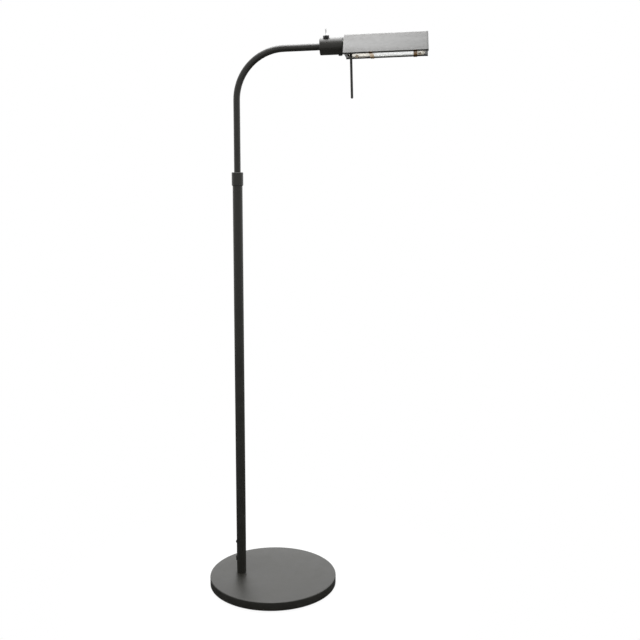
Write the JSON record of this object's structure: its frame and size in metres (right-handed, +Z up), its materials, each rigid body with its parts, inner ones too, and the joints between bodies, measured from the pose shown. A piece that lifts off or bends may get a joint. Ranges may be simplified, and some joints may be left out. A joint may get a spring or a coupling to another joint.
{
  "type": "pharmacy floor lamp",
  "caption": "Pharmacy floor lamp: weighted disc base, pole with a sliding bent arm, toggle switch housing and a tent shade that swivels on the arm's end.",
  "frame": {"origin": "middle of the round base, on the floor under its felt pad", "axes": "+Z up along the pole, +X from the pole towards the shade along the arm"},
  "size_m": [0.4217, 0.258, 1.0993],
  "materials": {
    "satin_black": "satin black stove enamel",
    "black_nut": "blackened steel",
    "cast_weight": "rough casting",
    "felt": "felt",
    "zinc_steel": "zinc plated",
    "nylon": "natural nylon",
    "grommet_rubber": "moulded",
    "switch_case": "moulded phenolic",
    "terminal_brass": "plain",
    "chrome": "bright plated",
    "white_enamel": "white enamel",
    "ceramic": "steatite ceramic",
    "quartz": "clear quartz",
    "tungsten": "wire",
    "shield_glass": "frosted heat-proof glass",
    "bronze": "aged bronze strip",
    "lead_sleeve": "silicone sleeve"
  },
  "bodies": {
    "base": {"base_pad": "felt", "base_weight": "cast_weight", "base_cover": "satin_black", "foot_stud": "zinc_steel", "foot_washer": "zinc_steel", "foot_lock_washer": "zinc_steel", "foot_nut": "zinc_steel", "pole_tube": "satin_black", "cord_grommet": "grommet_rubber", "earth_screw": "satin_black", "guide_collar": "satin_black", "bush_pin": "satin_black"},
    "bush": {"friction_bush": "nylon"},
    "arm": {"arm_tube": "satin_black", "lower_guide": "nylon", "guide_pin": "zinc_steel", "arm_lock_washer": "zinc_steel", "arm_lock_nut": "zinc_steel", "swivel_housing": "satin_black", "housing_cap": "zinc_steel", "tension_screw": "satin_black", "tension_pad": "nylon", "switch_body": "switch_case", "switch_terminals": "terminal_brass", "switch_bushing": "chrome", "switch_washer": "black_nut", "switch_nut": "black_nut"},
    "toggle": {"toggle_lever": "chrome"},
    "shade": {"swivel_stem": "zinc_steel", "thrust_washer": "nylon", "wave_washer": "zinc_steel", "retaining_nut": "zinc_steel", "stem_lock_nut": "zinc_steel", "handle_block": "satin_black", "handle_rod": "satin_black", "shade_shell": "satin_black", "shade_inner_end": "satin_black", "shade_outer_end": "satin_black", "reflector_studs": "zinc_steel", "reflector": "white_enamel", "reflector_screws": "zinc_steel", "lamp_bracket": "zinc_steel", "lamp_holder_inner": "ceramic", "lamp_holder_outer": "ceramic", "holder_screws": "zinc_steel", "lamp_contacts": "terminal_brass", "bulb_ends": "ceramic", "bulb_tube": "quartz", "filament": "tungsten", "lamp_leads": "lead_sleeve", "glass_shield": "shield_glass", "glass_strap_inner": "bronze", "glass_strap_outer": "bronze"}
  },
  "joints": [
    {"name": "arm_swivel", "type": "hinge", "parent": "base", "child": "bush", "pos_m": [-0.066, 0, 0.7988], "axis": [0, 0, 1], "range_deg": [-160, 160]},
    {"name": "height_slide", "type": "slide", "parent": "bush", "child": "arm", "axis": [0, 0, 1], "range_m": [-0.12, 0.25]},
    {"name": "shade_swivel", "type": "hinge", "parent": "arm", "child": "shade", "pos_m": [0.13608, 0, 1.06766], "axis": [0.9994, 0, 0.0349], "range_deg": [-150, 150]},
    {"name": "switch_toggle", "type": "hinge", "parent": "arm", "child": "toggle", "pos_m": [0.10392, -0.00581, 1.08442], "axis": [0.9994, 0, 0.0349], "range_deg": [0, 24]}
  ]
}
